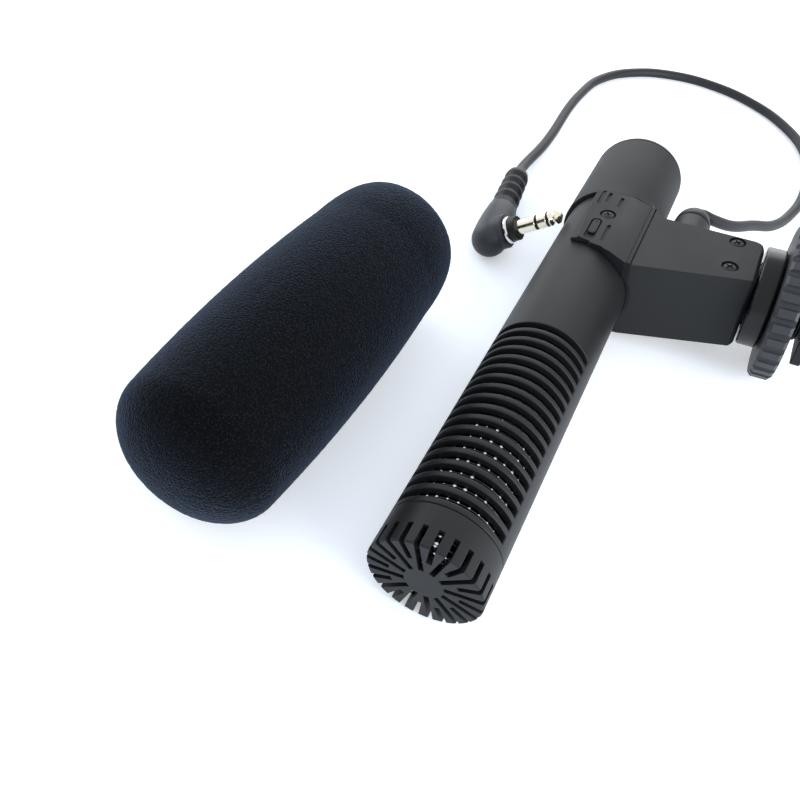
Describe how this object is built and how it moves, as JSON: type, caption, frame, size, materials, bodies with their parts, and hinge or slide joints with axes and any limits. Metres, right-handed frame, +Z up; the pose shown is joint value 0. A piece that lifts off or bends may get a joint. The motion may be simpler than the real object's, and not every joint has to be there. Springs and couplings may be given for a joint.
{
  "type": "on camera microphone",
  "caption": "Slim slotted barrel microphone with switch saddle, shoe foot with knurled lock wheel, attached cord with right-angle plug, and a foam windscreen taken off beside it.",
  "frame": {"origin": "on the table under the middle of the microphone and windscreen, cord and plug left out", "axes": "+Y along the barrel from nose to rear, +X from the barrel towards the shoe foot, +Z up from the table"},
  "size_m": [0.104, 0.2269, 0.0331],
  "materials": {
    "shell": "satin dark grey",
    "arm": "satin dark grey",
    "mesh": "black woven wire",
    "rubber": "smooth black",
    "foam": "open-cell foam",
    "screw": "blackened",
    "gold": "pale gold plated",
    "silver": "plated",
    "black": "moulded black",
    "board": "green circuit board",
    "cord": "matte dark grey",
    "battery": "plain wrapped cell"
  },
  "bodies": {
    "microphone": {"nose_cap": "shell", "barrel_tube": "shell", "sound_mesh": "mesh", "capsule_holder": "rubber", "capsule_left": "silver", "capsule_right": "silver", "preamp_board": "board", "board_chip": "black", "board_capacitor": "silver", "battery": "battery", "battery_cradle": "black", "plate_contact": "silver", "housing": "arm", "switch_plate": "arm", "switch_body": "black", "plate_screw": "screw", "foot_block": "black", "neck_damper": "rubber", "shoe_foot": "black", "cord_gland": "rubber", "arm_screw_1": "screw", "arm_screw_2": "screw", "cord_free": "cord", "plug_body": "cord", "plug_relief": "cord", "plug_collar": "silver", "jack_core": "black", "jack_sleeve": "gold", "jack_ring": "gold", "jack_tip": "gold"},
    "rear_cap": {"rear_cap": "shell", "spring_contact": "silver"},
    "switch_knob": {"switch_knob": "black"},
    "clamp_washer": {"clamp_washer": "silver"},
    "lock_wheel": {"lock_wheel": "arm"},
    "windscreen": {"windscreen": "foam"}
  },
  "joints": [
    {"name": "rear_cap_pull", "type": "slide", "parent": "microphone", "child": "rear_cap", "axis": [0, 1, 0], "range_m": [0, 0.012]},
    {"name": "switch_slide", "type": "slide", "parent": "microphone", "child": "switch_knob", "axis": [0, -1, 0], "range_m": [0, 0.0018]},
    {"name": "clamp_travel", "type": "slide", "parent": "microphone", "child": "clamp_washer", "axis": [0.9869, 0, 0.1611], "range_m": [0, 0.0016]},
    {"name": "lock_wheel_turn", "type": "hinge", "parent": "clamp_washer", "child": "lock_wheel", "pos_m": [0.04158, 0.03223, 0.01619], "axis": [0.9869, 0, 0.1611], "range_deg": [0, 576]},
    {"name": "windscreen_lift", "type": "slide", "parent": "microphone", "child": "windscreen", "axis": [0, 0, 1], "range_m": [0, 0.06]}
  ],
  "couplings": [
    {"joint": "lock_wheel_turn", "follows": "clamp_travel", "rad_per_m": 6283.2}
  ]
}
